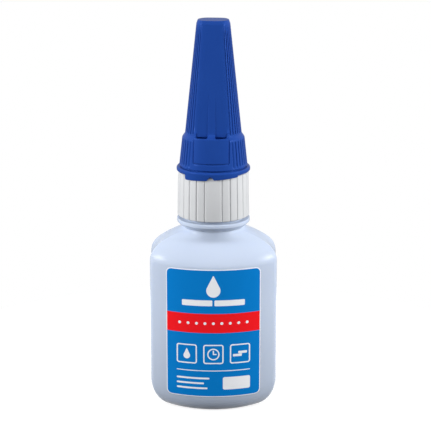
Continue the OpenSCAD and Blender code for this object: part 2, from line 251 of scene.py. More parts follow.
# Front print. A box has its middle's x and z, half width, half height and corner radius, and a drop has its
# middle's x and z, radius and the tip's height over the middle
FRONT_BAND = (0, 27.15, 20, 2.85, 0)
DOT_PITCH, DOT_R, DOTS_HALF_W = 2.4, 0.42, 10.9
SIGN_X, SIGN_Z = 7.6, 17.9
SIGN_HALF, SIGN_CORNER_R, SIGN_LINE = 2.9, 0.7, 0.36
CLOCK_R = 1.75
FRONT_DROPS = {"over the plates": (0, 36.9, 2.0, 4.5), "in the left sign": (-SIGN_X, 17.35, 0.95, 2.3)}
FRONT_BOXES = {
    "left plate": (-4.6, 33.2, 4.3, 0.85, 0.25),
    "right plate": (4.6, 33.2, 4.3, 0.85, 0.25),
    "upright clock hand": (0, 18.4, 0.17, 0.65, 0.1),
    "level clock hand": (0.42, SIGN_Z, 0.55, 0.17, 0.1),
    "lower strip of the joint": (6.85, 17.48, 1.25, 0.36, 0.1),
    "upper strip of the joint": (8.35, 18.32, 1.25, 0.36, 0.1),
    "long rule": (0, 12.9, 10.5, 0.13, 0.1),
    "first rule": (-5.8, 10.6, 4.7, 0.26, 0.2),
    "second rule": (-6.6, 9.1, 3.9, 0.26, 0.2),
    "third rule": (-6.1, 7.6, 4.4, 0.26, 0.2),
    "bare panel": (6.6, 9.1, 3.9, 1.9, 0.5),
}

# Rear print
REAR_BAND = (0, 37.6, 20, 1.4, 0)
REAR_PANEL = (0, 20.6, 11.2, 13.2, 0.8)
RULE_Z, RULE_PITCH = 10.6, 2.4
RULE_HALF_W, RULE_HALF_H = 9.9, 0.1


def smooth(share):
    """Ease from 0 to 1, level at both ends."""
    share = np.clip(share, 0, 1)
    return share * share * (3 - 2 * share)


def rounded(points, radii, steps=4):
    """Open profile with an arc at each inner corner: the arc's centre lies on the corner's bisector, and its
    points turn evenly from one tangent point to the other."""
    points = np.array(points, float)
    corner = points[1:-1]
    back = points[:-2] - corner
    ahead = points[2:] - corner
    back /= np.linalg.norm(back, axis=1, keepdims=True)
    ahead /= np.linalg.norm(ahead, axis=1, keepdims=True)
    half = np.arccos(np.sum(back * ahead, axis=1))[:, None] / 2
    radii = np.broadcast_to(radii, len(corner))[:, None]
    centre = corner + (back + ahead) / (2 * np.cos(half)) * radii / np.sin(half)
    start = corner + back * radii / np.tan(half) - centre
    end = corner + ahead * radii / np.tan(half) - centre
    turn = np.pi - 2 * half[..., None]
    share = np.linspace(0, 1, steps + 1)[None, :, None]
    arcs = np.sin((1 - share) * turn) * start[:, None] + np.sin(share * turn) * end[:, None]
    arcs = centre[:, None] + arcs / np.sin(turn)
    return np.vstack([points[:1], arcs.reshape(-1, 2), points[-1:]])


def rounded_loop(points, radii, steps=4):
    """Closed profile with an arc at every corner."""
    return rounded([points[-1], *points, points[0]], radii, steps)[1:-1]


def resampled(profile, count):
    """The same profile drawn with count points, evenly spaced along it."""
    along = np.concatenate([[0], np.cumsum(np.linalg.norm(np.diff(profile, axis=0), axis=1))])
    places = np.linspace(0, along[-1], count)
    return np.column_stack([np.interp(places, along, profile[:, 0]), np.interp(places, along, profile[:, 1])])


def with_rows(profile, spacing, wall_r=None):
    """Profile with points added on its long stretches, or only on the wall that stands at one radius."""
    step = np.diff(profile, axis=0)
    pieces = np.ceil(np.linalg.norm(step, axis=1) / spacing).astype(int)
    if wall_r is not None:
        on_wall = np.isclose(profile[:, 0], wall_r)
        pieces[~(on_wall[1:] & on_wall[:-1])] = 1
    start = np.repeat(np.arange(len(step)), pieces)
    share = np.arange(len(start)) - np.repeat(np.cumsum(pieces) - pieces, pieces)
    return np.vstack([profile[start] + step[start] * (share / pieces[start])[:, None], profile[-1:]])


def rings(radius, height, angles):
    """Rings round the axis: each row is a radius and a height, each column an angle."""
    radius, height, angles = np.broadcast_arrays(radius, height, angles)
    return np.stack([radius * np.cos(angles), radius * np.sin(angles), height], axis=-1)


def ridged(profile, angles, wall_r, rise, lead, at_zero, first_a, turns):
    """Rings of a profile with a right-hand screw ridge on the wall at wall_r. The ridge's middle climbs one
    lead a turn, its flanks ease from foot to crest, and both ends run out."""
    radius, height = profile[:, :1], profile[:, 1:]
    first, last = math.radians(first_a), math.radians(first_a + 360 * turns)
    turn = 2 * np.pi * np.arange(-1, math.ceil(turns) + 2)
    along = np.mod(angles, 2 * np.pi)[None, :, None] + turn
    off = np.abs(height[..., None] - at_zero - lead * along / (2 * np.pi))
    flank = smooth((RIDGE_FOOT / 2 - off) / ((RIDGE_FOOT - RIDGE_CREST) / 2))
    ends = smooth(np.minimum(along - first, last - along) / math.radians(RIDGE_FADE_A))
    share = np.max(flank * ends, axis=-1) * np.isclose(radius, wall_r)
    return rings(radius + rise * share, height, angles)


def skin(name, points, meets=False, sharp_a=50):
    """Closed mesh through rings of points: quads join each ring to the next, and flat caps close the ends,
    or the last ring meets the first. Rings run anticlockwise and climb the outside, so faces point out."""
    rows, columns = points.shape[:2]
    index = np.arange(rows * columns).reshape(rows, columns)
    lower = index if meets else index[:-1]
    upper = np.roll(index, -1, axis=0) if meets else index[1:]
    quads = np.stack([lower, np.roll(lower, -1, 1), np.roll(upper, -1, 1), upper], axis=-1)
    faces = quads.reshape(-1, 4).tolist()
    if not meets:
        faces += [index[0, ::-1].tolist(), index[-1].tolist()]
    mesh = bpy.data.meshes.new(name)
    mesh.from_pydata((points.reshape(-1, 3) * MM).tolist(), [], faces)
    mesh.shade_smooth()
    mesh.set_sharp_from_angle(angle=math.radians(sharp_a))
    piece = bpy.data.objects.new(name, mesh)
    bpy.context.scene.collection.objects.link(piece)
    return piece


def even_angles(count):
    """Angles spaced evenly round the axis."""
    return np.linspace(0, 2 * np.pi, count, endpoint=False)


# Bottle

def body_outline(corner_r, face_steps=26, corner_steps=12, side_steps=8):
    """Outline of the body for each corner radius, anticlockwise from the middle of the front: a wide arc for
    the face, a tight arc round the corner and a hollow side, then its mirror image, and both turned to the
    left."""
    corner_r = np.atleast_1d(corner_r)[:, None]
    centre_y = FACE_R - half_d
    corner_a = np.arcsin((half_w - corner_r) / (FACE_R - corner_r))
    corner_y = centre_y - (FACE_R - corner_r) * np.cos(corner_a)
    face = corner_a * np.linspace(0, 1, face_steps, endpoint=False)
    bend = corner_a + (np.pi / 2 - corner_a) * np.linspace(0, 1, corner_steps, endpoint=False)
    side = np.linspace(1, 0, side_steps + 1)[None, :] + 0 * corner_r
    x = [FACE_R * np.sin(face), half_w - corner_r * (1 - np.sin(bend)), half_w - SIDE_DIP * (1 - side ** 2)]
    y = [centre_y - FACE_R * np.cos(face), corner_y - corner_r * np.cos(bend), corner_y * side]
    quarter = np.stack([np.hstack(x), np.hstack(y)], axis=-1)
    right = np.concatenate([quarter, quarter[:, -2:0:-1] * (1, -1)], axis=1)
    return np.concatenate([right, quarter[:, :1] * (1, -1), -right[:, 1:]], axis=1)


def body_rings(height, half_x, half_y, blend=0, corner_r=CORNER_R):
    """Rings of the body: the outline stretched to a half width and a half depth at each height, and eased to
    an ellipse as blend goes from 0 to 1."""
    height, half_x, half_y, blend, corner_r = (v[:, None] for v in np.broadcast_arrays(
        *np.atleast_1d(height, half_x, half_y, blend, corner_r)))
    unit = body_outline(corner_r[:, 0]) / (half_w, half_d)
    ease = 1 - blend + blend / np.linalg.norm(unit, axis=-1)
    x = half_x * unit[..., 0] * ease
    y = half_y * unit[..., 1] * ease
    return np.stack([x, y, np.broadcast_to(height, x.shape)], axis=-1)


def draw_in(rise, reach, height):
    """How far a wall draws in at a rise above the floor: a quarter of an ellipse."""
    return reach * (1 - np.sqrt(1 - (np.maximum(height - rise, 0) / height) ** 2))


def draw_rows(count):
    """Heights of rows up the lower body, closer near the floor, where the wall turns fastest."""
    return SIDE_DRAW_H * (1 - np.cos(np.linspace(0, np.pi / 2, count)))


def lower_rings(rise, gap, floor):
    """Rings of the lower body, on a skin that lies a gap inside the outer one."""
    half_x = half_w - gap - draw_in(rise, SIDE_DRAW, SIDE_DRAW_H)
    half_y = half_d - gap - draw_in(rise, FACE_DRAW, FACE_DRAW_H)
    return body_rings(floor + rise, half_x, half_y)


def kept(share, bend):
    """Share of its reach that the shoulder keeps at a share of its rise; it runs out in a soft hollow."""
    return ROOT_SOFT * np.log1p(np.exp((1 - share ** bend) / ROOT_SOFT))


def shoulder_rings(gap, root_r, drop, steps):
    """Rings of the shoulder: the faces lean in first, the narrow sides bow over to a higher end, and the
    corners tighten to a crest and fade into a round root."""
    z = np.linspace(SHOULDER_Z, BEAD_Z, steps + 1)
    side = (z - SHOULDER_Z) / (SIDE_END_Z - SHOULDER_Z)
    face = (z - SHOULDER_Z) / (FACE_END_Z - SHOULDER_Z)
    half_x = root_r + (half_w - gap - root_r) * kept(side, SIDE_BEND)
    half_y = root_r + (half_d - gap - root_r) * kept(face, FACE_BEND)
    corner_r = CORNER_R + (CORNER_TOP_R - CORNER_R) * smooth(side / CORNER_RUN)
    fade = np.minimum(side, 1) ** CORNER_FADE
    return body_rings(z - drop * np.minimum(side, 1), half_x, half_y, fade, corner_r)


def make_bottle():
    """Blown bottle from the recess under it, up the outer skin, over the neck's rim and down the inner."""
    foot = rounded([(RECESS_IN, RECESS), (RIM_W + RECESS, RECESS), (RIM_W, 0), (0, 0)], FOOT_SOFT)[:-1]
    inset, foot_z = foot.T
    rise = draw_rows(25)
    upright = np.linspace(SIDE_DRAW_H, SHOULDER_Z, 12)[1:-1]
    shoulder = shoulder_rings(gap=0, root_r=STEM_R, drop=0, steps=44)
    neck = rounded(
        [
            (STEM_R, shoulder[-1, 0, 2]),
            (BEAD_R, BEAD_WALL_Z),
            (BEAD_R, BEAD_TOP),
            (BEAD_RING_R, BEAD_TOP),
            (BEAD_RING_R, BEAD_RING_TOP),
            (NECK_R, BEAD_RING_TOP),
            (NECK_R, neck_top),
            (NECK_BORE_R, neck_top),
            (NECK_BORE_R, BEAD_Z),
        ],
        NECK_SOFT,
        steps=6,
    )
    outline = body_outline(CORNER_R)[0] / (half_w, half_d)
    angles = np.arctan2(outline[:, 1], outline[:, 0])
    return skin("bottle_blown", np.concatenate([
        body_rings(foot_z, half_w - SIDE_DRAW - inset, half_d - FACE_DRAW - inset),
        lower_rings(rise, gap=0, floor=0),
        body_rings(upright, half_w, half_d),
        shoulder,
        ridged(with_rows(neck, NECK_ROW, NECK_R), angles, NECK_R, **NECK_RIDGE)[1:],
        shoulder_rings(WALL, NECK_BORE_R, INNER_DROP, steps=18)[::-1],
        lower_rings(rise[::2], WALL, FLOOR)[::-1],
    ]))


def make_adhesive():
    """Liquid in the lower body, whose surface climbs the wall in a meniscus that dies away inwards."""
    floor, level = liquid_low[2], liquid_high[2]
    inset = np.array(MENISCUS_INSETS)
    climb = MENISCUS_H * (np.exp(-inset / MENISCUS_REACH) - 1)
    return skin("adhesive_fill", np.concatenate([
        lower_rings(draw_rows(13), LIQUID_GAP, floor),
        body_rings(level + climb, half_w - LIQUID_GAP - inset, half_d - LIQUID_GAP - inset),
    ]))


# Collar and nozzle

def make_collar():
    """Screw ring turned from one closed profile, with upright grooves: a groove's depth falls as a cosine
    squared from its middle, and the front and back have none."""
    pitch_a = 360 / GROOVES
    offset = np.concatenate([
        np.linspace(-GROOVE_HALF_A, GROOVE_HALF_A, GROOVE_COLUMNS),
        np.linspace(2 * GROOVE_HALF_A, pitch_a - 2 * GROOVE_HALF_A, FLAT_COLUMNS),
    ])
    number = np.repeat(np.arange(GROOVES), len(offset))
    offset = np.tile(offset, GROOVES)
    angles = np.radians(number * pitch_a + offset - 90)
    grooved = number % (GROOVES // 2) != 0
    cut = GROOVE_DEPTH * grooved * np.cos(np.pi / 2 * np.clip(offset / GROOVE_HALF_A, -1, 1)) ** 2
    profile = rounded_loop(
        [
            (collar_r, collar_z),
            (COLLAR_TOP_R, collar_top),
            (LIP_HOLE_R, collar_top),
            (LIP_HOLE_R, LIP_Z),
            (COLLAR_BORE_R, LIP_Z),
            (COLLAR_BORE_R, collar_z),
        ],
        COLLAR_SOFT,
    )
    profile = with_rows(profile, COLLAR_ROW, COLLAR_BORE_R)
    points = ridged(profile, angles, COLLAR_BORE_R, **COLLAR_RIDGE)
    outer = (profile[:, :1] > GROOVED_FROM_R)[..., None]
    outwards = np.stack([np.cos(angles), np.sin(angles), 0 * angles], axis=-1)
    return skin("collar_ribbed", points - outer * cut[:, None] * outwards, meets=True)


def make_nozzle():
    """Dispensing spout turned from one closed profile: plug, flange, threaded spigot, taper, tip and bore."""
    low = nozzle_low[2]
    profile = rounded_loop(
        [
            (INLET_R, low),
            (PLUG_R - PLUG_BEVEL, low),
            (PLUG_R, low + PLUG_BEVEL),
            (PLUG_R, FLANGE_Z),
            (flange_r, FLANGE_Z),
            (flange_r, FLANGE_TOP),
            (SPIGOT_R, FLANGE_TOP),
            (SPIGOT_R, SPIGOT_TOP),
            (TAPER_R, TAPER_Z),
            (TIP_R, tip_z),
            (OUTLET_R, tip_z),
            (OUTLET_R, OUTLET_Z),
            (TAPER_BORE_R, TAPER_Z),
            (INLET_R, INLET_TOP),
        ],
        NOZZLE_SOFT,
    )
    profile = with_rows(profile, SPIGOT_ROW, SPIGOT_R)
    return skin("nozzle_spout", ridged(profile, even_angles(120), SPIGOT_R, **SPIGOT_RIDGE), meets=True)


def make_pin():
    """Outlet pin turned from a profile with a blunt point and a rounded head."""
    low, high, pin_r = pin_low[2], pin_high[2], pin_high[0]
    corner = [(POINT_R, low), (pin_r, low + POINT_H), (pin_r, high), (HEAD_FLAT_R, high)]
    profile = rounded(corner, PIN_SOFT, steps=6)
    return skin("cap_outlet_pin", rings(profile[:, :1], profile[:, 1:], even_angles(32)))


# Cap

def line_at(z, low_z, low_r, high_z, high_r):
    """Radius at a height on a straight wall."""
    return low_r + (high_r - low_r) * (z - low_z) / (high_z - low_z)


def grip_at(z):
    """Radius of the grip at a height."""
    return line_at(z, GRIP_Z, GRIP_R, STEP_Z, STEP_R)


def cone_at(z):
    """Radius of the cone at a height."""
    return line_at(z, CONE_Z, CONE_R, CONE_TOP_Z, CONE_TOP_R)


def facet_at(z):
    """Distance from the axis to the middle of the flat facet at a height."""
    return cone_at(z) * math.cos(math.radians(FACET_A))


def cap_columns():
    """Angle of each column from the middle of the nearer face, in degrees, and from the +X axis, in radians.
    Columns stand closer where an edge of the cap runs upright, and on both flanks of each rib."""
    flank = np.array([-1, 0, 1]) * RIB_FLANK_A / 2
    off = np.concatenate([-RIB_HALF_A + flank, [0], RIB_HALF_A + flank, [RIB_PITCH_A / 2]])
    rib_edges = np.sort((90 - RIB_PITCH_A * np.arange(RIB_COUNT)[:, None] - off).ravel())
    rib_edges = rib_edges[(rib_edges > RIBS_FROM_A) & (rib_edges < 90)]
    right = np.concatenate([*(np.arange(*run) for run in CAP_RUNS), rib_edges, [90]])
    face = np.concatenate([-right[-2:0:-1], right])
    around = np.concatenate([face, face + 180]) - 90 + CAP_REST_A
    return np.tile(face, 2), np.radians(around)


def cap_inside():
    """Profile of the cap's inside: down the pin's hole, round the boss, down the hollow and the bore."""
    hole_r = pin_high[0] + PIN_PLAY
    hole_top = pin_high[2] + PIN_PLAY
    boss_z = tip_z + BOSS_GAP
    return rounded(
        [
            (HOLE_END_R, hole_top),
            (hole_r, hole_top),
            (hole_r, boss_z),
            (BOSS_R, boss_z),
            (BOSS_R, HOLLOW_TOP),
            (HOLLOW_TOP_R, HOLLOW_TOP),
            (HOLLOW_R, HOLLOW_Z),
            (CAP_BORE_R, CAP_BORE_TOP),
            (CAP_BORE_R, CAP_Z),
            (RIM_IN_R, CAP_Z),
        ],
        INSIDE_SOFT,
    )


def cap_rim(face_a):
    """Radius and height of the rim: a full round lip, or at front and back a thin tab that hangs from it. The
    tab's lower edge climbs to the right, its corners are round and a V notch marks its middle. Heights below
    the rim are drawn as shares of the tab's depth."""
    tab = rounded(
        [
            (RIM_IN_R, 0),
            (TAB_IN_R, 0),
            (TAB_IN_R, -1),
            (TAB_OUT_R, -1),
            (TAB_OUT_R, TAB_JOIN_H),
            (CAP_LIP_R, TAB_LIP_H),
            (CAP_LIP_R, RIM_H),
        ],
        TAB_SOFT,
    )
    lip = rounded([(RIM_IN_R, 0), (CAP_LIP_R, 0), (CAP_LIP_R, RIM_H)], RIM_SOFT, steps=8)
    lip = resampled(lip, len(tab))
    x = TAB_OUT_R * np.sin(np.radians(face_a))
    from_end = TAB_OUT_R * np.radians(TAB_HALF_A - np.abs(face_a))
    corner = np.sqrt(1 - (1 - np.clip(from_end / TAB_CORNER_R, 0, 1)) ** 2)
    depth = (CAP_Z - TAB_Z - x * math.tan(math.radians(TAB_SLOPE_A))) * corner
    notch = CAP_Z - NOTCH_TOP + NOTCH_STEEP * (np.hypot(x, NOTCH_ROUND) - NOTCH_ROUND)
    depth = np.minimum(depth, notch)
    tab_r, tab_rise = tab[:, :1], tab[:, 1:]
    tab_z = depth * np.minimum(tab_rise, 0) + np.maximum(tab_rise, 0)
    share = smooth(from_end / TAB_END)
    radius = lip[:, :1] + share * (tab_r - lip[:, :1])
    height = lip[:, 1:] + share * (tab_z - lip[:, 1:])
    return radius, CAP_Z + height


def run_of(z, low, low_fade, high, high_fade):
    """1 between two heights, easing in above the lower one and out below the upper one."""
    return smooth((z - low) / low_fade) * smooth((high - z) / high_fade)


def cap_side(face_a, z):
    """Radius of the cap's side: grip, softened step and cone. Upright grooves are sunk into grip and cone,
    and the flat ribs that they leave stand at an even pitch on each side."""
    corner = [(GRIP_R, GRIP_Z), (STEP_R, STEP_Z), (CONE_R, CONE_Z), (CONE_TOP_R, CONE_TOP_Z)]
    profile = rounded(corner, STEP_SOFT, steps=8)
    from_side = 90 - np.abs(face_a)
    off = np.abs(np.mod(from_side + RIB_PITCH_A / 2, RIB_PITCH_A) - RIB_PITCH_A / 2)
    ribbed = from_side < RIB_PITCH_A * (RIB_COUNT - 1) / 2
    sunk = RIB_H * ribbed * smooth((off - RIB_HALF_A) / RIB_FLANK_A + 0.5)
    grooves = run_of(z, **GRIP_GROOVE) + run_of(z, **CONE_GROOVE)
    return np.interp(z, profile[:, 1], profile[:, 0]) - sunk * grooves


def cap_front():
    """Profiles of the cap's front from the grip to the facet, row for row: over the pad and down the slit
    behind it, and over the pad and up the buttress. The rows of the pad's top, of the slit's foot and of the
    facet's foot come with them."""
    steps = 4
    start_z = np.linspace(WALL_Z, PAD_Z - PAD_LEAD, 5)
    start = np.column_stack([grip_at(start_z), start_z])
    pad_r = grip_at(PAD_TOP) + PAD_PROUD
    over_pad = [
        tuple(start[-1]),
        (grip_at(PAD_Z) - PAD_LINE, PAD_Z - PAD_LINE_DROP),
        (grip_at(PAD_Z) + PAD_PROUD, PAD_Z + PAD_EDGE_RISE),
        (pad_r, PAD_TOP),
    ]
    slit = [
        (pad_r - PAD_WALL, PAD_TOP),
        (pad_r - PAD_WALL, SLIT_Z),
        (SLIT_IN_Y, SLIT_Z),
        (SLIT_IN_Y, PAD_TOP + SLIT_RISE),
        (facet_at(PAD_TOP), PAD_TOP + FACET_RISE),
        (facet_at(FACET_Z), FACET_Z),
    ]
    buttress = [
        *((r, PAD_TOP + rise) for r, rise in BUTTRESS_FOOT),
        (facet_at(BUTTRESS_BEND_Z) + BUTTRESS_PROUD + BUTTRESS_BEND, BUTTRESS_BEND_Z),
        (facet_at(FACET_Z) + BUTTRESS_PROUD, FACET_Z),
    ]
    arc = steps + 1
    pad_rows = 1 + 2 * arc
    share = np.linspace(0, 1, 18)[1:-1, None]
    profiles = []
    for corner, soft in ((slit, SLIT_SOFT), (buttress, BUTTRESS_SOFT)):
        p = rounded(over_pad + corner, PAD_SOFT + soft, steps)
        up_pad = p[pad_rows - 1] + share * (p[pad_rows] - p[pad_rows - 1])
        profiles.append(np.vstack([start[:-1], p[:pad_rows], up_pad, p[pad_rows:]]))
    pad_top_row = len(start) - 1 + pad_rows + len(share)
    return *profiles, pad_top_row, pad_top_row + 3 * arc, pad_top_row + 5 * arc


def soft_min(a, b, width):
    """Smaller of two lengths, with the corner between them rounded over a width."""
    overlap = np.maximum(width - np.abs(a - b), 0) / width
    return np.minimum(a, b) - overlap ** 2 * width / 4


def cap_wall(face_a):
    """Radius and height of the cap's outside above its lip groove. The side is turned; between the pad's
    upright edges the front rows take over, with a fine line sunk along them, and above it the facet cuts the
    cone softly."""
    slit, buttress, pad_top_row, slit_foot_row, facet_row = cap_front()
    cone_z = np.linspace(FACET_Z, FACET_TOP, 18)[1:]
    fade = BUTTRESS_PROUD * (1 - smooth((cone_z - FACET_Z) / (BUTTRESS_TOP - FACET_Z)))
    slit = np.vstack([slit, np.column_stack([facet_at(cone_z), cone_z])])
    buttress = np.vstack([buttress, np.column_stack([facet_at(cone_z) + fade, cone_z])])
    row = np.arange(len(slit))[:, None]
    upper = len(slit) - len(cone_z)
    side_z = slit[:, 1].copy()
    side_z[pad_top_row:upper] = np.linspace(PAD_TOP, FACET_Z, upper - pad_top_row + 1)[1:]
    side_z = side_z[:, None]
    side_r = cap_side(face_a, side_z)
    away = np.abs(face_a)
    flat = 1 / np.cos(np.radians(np.minimum(away, FACET_MAX_A)))
    edge_a = np.degrees(np.arcsin(PAD_HALF_W / (grip_at(np.minimum(slit[:, 1:], PAD_TOP)) + PAD_PROUD)))
    on_front = smooth((edge_a - away) / PAD_EDGE_A + 0.5)
    on_buttress = smooth((BUTTRESS_A - away) / BUTTRESS_EDGE_A + 0.5)
    front_r = slit[:, :1] + on_buttress * (buttress[:, :1] - slit[:, :1])
    front_z = slit[:, 1:] + on_buttress * (buttress[:, 1:] - slit[:, 1:])
    facet_r = soft_min(side_r, front_r * flat, FACET_SOFT)
    front_r = np.where((row >= slit_foot_row) & (row < facet_row), front_r * flat, front_r)
    beside_pad = (slit[:, 1:] > PAD_Z) & (row < pad_top_row)
    line = np.exp(-((away - edge_a - PAD_LINE_FROM_A) / PAD_LINE_A) ** 2) * beside_pad
    turned_r = side_r + on_front * (front_r - side_r) - PAD_LINE * line
    radius = np.where(row >= facet_row, facet_r, turned_r)
    height = side_z + on_front * (front_z - side_z)
    return radius, height


def make_cap():
    """Long screw cap: its inside, then its rim, lip, lip groove, wall and bevelled crown, all carried round
    the axis."""
    face_a, angles = cap_columns()
    inside = ridged(with_rows(cap_inside(), CAP_ROW, CAP_BORE_R), angles, CAP_BORE_R, **CAP_RIDGE)
    rim_r, rim_z = cap_rim(face_a)
    lip_top = CAP_Z + CAP_LIP_H
    lip = rounded(
        [
            (CAP_LIP_R, CAP_Z + RIM_H),
            (CAP_LIP_R, lip_top),
            (LIP_GROOVE_R, lip_top),
            (LIP_GROOVE_R, GRIP_Z),
            (grip_at(GRIP_Z), GRIP_Z),
            (grip_at(WALL_Z), WALL_Z),
        ],
        LIP_SOFT,
        steps=6,
    )[1:-1]
    lip_r = np.broadcast_to(lip[:, :1], (len(lip), len(angles)))
    lip_z = np.broadcast_to(lip[:, 1:], lip_r.shape)
    wall_r, wall_z = cap_wall(face_a)
    crown_z = wall_z[-1, 0]
    crown_foot_r = cone_at(crown_z)
    corner = [(crown_foot_r, crown_z), (CONE_TOP_R, CONE_TOP_Z), (CROWN_R, cap_top), (CROWN_R / 2, cap_top)]
    crown = rounded(corner, CROWN_SOFT, steps=6)[1:]
    crown_r = wall_r[-1] * crown[:, :1] / crown_foot_r
    crown_z = np.broadcast_to(crown[:, 1:], crown_r.shape)
    radius = np.concatenate([rim_r[1:], lip_r, wall_r, crown_r])
    height = np.concatenate([rim_z[1:], lip_z, wall_z, crown_z])
    return skin("cap_long", np.concatenate([inside, rings(radius, height, angles)]))


# Labels: a film bent over the body, and its print as signed distances in millimetres, below 0 inside the ink

def label_points(columns, rows):
    """Rings of a thin film on the front face. A row is as wide as the rounded corners leave it, and its
    points lie on the body's outline at that height, a film's thickness out. The ring returns along the film's
    back with fewer points."""
    back = columns // 8
    low, high, half = label_low[2], label_high[2], label_high[0]
    share = np.linspace(-1, 1, rows)
    z = (low + high) / 2 + (high - low) / 2 * share
    near_end = np.clip(LABEL_CORNER_R - np.minimum(z - low, high - z), 0, LABEL_CORNER_R)
    width = half - LABEL_CORNER_R + np.sqrt(LABEL_CORNER_R ** 2 - near_end ** 2)
    across = np.concatenate([np.linspace(-1, 1, columns), np.linspace(1, -1, back)])
    lift = np.concatenate([np.full(columns, LABEL_SEAT + LABEL_T), np.full(back, LABEL_SEAT)])
    x = width[:, None] * across
    z = np.broadcast_to(z[:, None], x.shape)
    half_x = half_w - draw_in(z, SIDE_DRAW, SIDE_DRAW_H)
    half_y = half_d - draw_in(z, FACE_DRAW, FACE_DRAW_H)
    unit_x = x * half_w / half_x
    y = (FACE_R - half_d - np.sqrt((FACE_R + lift) ** 2 - unit_x ** 2)) * half_y / half_d
    return np.stack([x, y, z], axis=-1)


def box_edge(x, z, mid_x, mid_z, half_x, half_z, r):
    """Distance to a rectangle with round corners."""
    dx = np.abs(x - mid_x) - half_x + r
    dz = np.abs(z - mid_z) - half_z + r
    return np.hypot(np.maximum(dx, 0), np.maximum(dz, 0)) + np.minimum(np.maximum(dx, dz), 0) - r


def drop_edge(x, z, mid_x, mid_z, r, tip):
    """Distance to a drop: a disc and the two tangents that meet at a tip above it."""
    x, z = np.abs(x - mid_x), z - mid_z
    sine = r / tip
    cosine = math.sqrt(1 - sine ** 2)
    along = cosine * z - sine * x
    return np.select(
        [along < 0, along > cosine * tip],
        [np.hypot(x, z) - r, np.hypot(x, z - tip)],
        cosine * x + sine * z - r,
    )


def outline_of(edge, width):
    """Distance to a line of some width drawn just inside an edge."""
    return np.abs(edge + width / 2) - width / 2


def film_border(x, z):
    """Distance to the bare strip round the edge of the film."""
    mid_z = (label_low[2] + label_high[2]) / 2
    half_z = (label_high[2] - label_low[2]) / 2
    return -BORDER_W - box_edge(x, z, 0, mid_z, label_high[0], half_z, LABEL_CORNER_R)


def front_print(x, z):
    """White and red ink on the front: a drop over two plates, a dotted band, three small signs, rules and a
    bare panel."""
    white = [film_border(x, z)]
    white += [drop_edge(x, z, *drop) for drop in FRONT_DROPS.values()]
    white += [box_edge(x, z, *box) for box in FRONT_BOXES.values()]
    dot_x = np.mod(x + DOT_PITCH / 2, DOT_PITCH) - DOT_PITCH / 2
    white += [np.maximum(np.hypot(dot_x, z - FRONT_BAND[1]) - DOT_R, np.abs(x) - DOTS_HALF_W)]
    lined = [np.hypot(x, z - SIGN_Z) - CLOCK_R]
    for mid_x in (-SIGN_X, 0, SIGN_X):
        lined += [box_edge(x, z, mid_x, SIGN_Z, SIGN_HALF, SIGN_HALF, SIGN_CORNER_R)]
    white += [outline_of(edge, SIGN_LINE) for edge in lined]
    return np.minimum.reduce(white), box_edge(x, z, *FRONT_BAND)


def rear_print(x, z):
    """White and red ink on the back: a thin band and a bare panel with faint rules."""
    panel = box_edge(x, z, *REAR_PANEL)
    rule_z = np.mod(z - RULE_Z + RULE_PITCH / 2, RULE_PITCH) - RULE_PITCH / 2
    rules = np.maximum(np.abs(rule_z) - RULE_HALF_H, np.abs(x) - RULE_HALF_W)
    return np.minimum(film_border(x, z), np.maximum(panel, -rules)), box_edge(x, z, *REAR_BAND)


def make_label(name, print_edges, turned):
    """Label film with its print as two attributes, on the front or turned half way round to the back."""
    points = label_points(columns=136, rows=192)
    white, red = print_edges(points[..., 0], points[..., 2])
    piece = skin(name, points * ((-1, -1, 1) if turned else (1, 1, 1)))
    for ink, edge in (("white_ink", white), ("red_ink", red)):
        attribute = piece.data.attributes.new(ink, "FLOAT", "POINT")
        attribute.data.foreach_set("value", edge.ravel().astype(np.float32))
    return piece


# Materials. A Mix node of colours takes its share and two colours, and gives its result, at these sockets
SHARE, FIRST, SECOND, RESULT = 0, 6, 7, 2


def linear(colour):
    """Linear RGBA of an sRGB hex colour."""
    part = np.array([int(colour[i:i + 2], 16) for i in (1, 3, 5)]) / 255
    part = np.where(part <= 0.04045, part / 12.92, ((part + 0.055) / 1.055) ** 2.4)
    return (*part.tolist(), 1.0)


def add(tree, kind, inputs=(), **settings):
    """Adds a node, sets its properties, and sets or links its inputs by name or number."""
    made = tree.nodes.new(kind)
    for name, value in settings.items():
        setattr(made, name, value)
    for name, value in dict(inputs).items():
        if isinstance(value, bpy.types.NodeSocket):
            tree.links.new(value, made.inputs[name])
        else:
            made.inputs[name].default_value = value
    return made


def new_tree(name):
    """Empty node material."""
    material = bpy.data.materials.new(name)
    material.use_nodes = True
    material.node_tree.nodes.clear()
    return material, material.node_tree


def finish_with(tree, inputs):
    """Principled surface as the material's output."""
    shader = add(tree, "ShaderNodeBsdfPrincipled", inputs)
    add(tree, "ShaderNodeOutputMaterial", {"Surface": shader.outputs["BSDF"]})


def moulded_skin(tree, shades, rough, patch_mm, grain_mm, relief_mm, stretch=(1, 1, 1)):
    """Colour, roughness and normal of a moulded skin: two close shades in broad soft patches, and a fine
    relief from the mould's own surface, along which the roughness goes between two limits. Both patterns keep
    their size in millimetres."""
    place = add(tree, "ShaderNodeTexCoord").outputs["Object"]
    place = add(tree, "ShaderNodeMapping", {"Vector": place, "Scale": stretch}).outputs["Vector"]
    patch = add(tree, "ShaderNodeTexNoise", {"Vector": place, "Scale": 1 / (patch_mm * MM), "Detail": 2})
    grain = add(tree, "ShaderNodeTexNoise", {"Vector": place, "Scale": 1 / (grain_mm * MM), "Detail": 3})
    blend = {SHARE: patch.outputs[0], FIRST: linear(shades[0]), SECOND: linear(shades[1])}
    colour = add(tree, "ShaderNodeMix", blend, data_type="RGBA").outputs[RESULT]
    limits = {"Value": grain.outputs[0], "To Min": rough[0], "To Max": rough[1]}
    roughness = add(tree, "ShaderNodeMapRange", limits).outputs["Result"]
    bump = add(tree, "ShaderNodeBump", {"Height": grain.outputs[0], "Distance": relief_mm * MM})
    return colour, roughness, bump.outputs["Normal"]


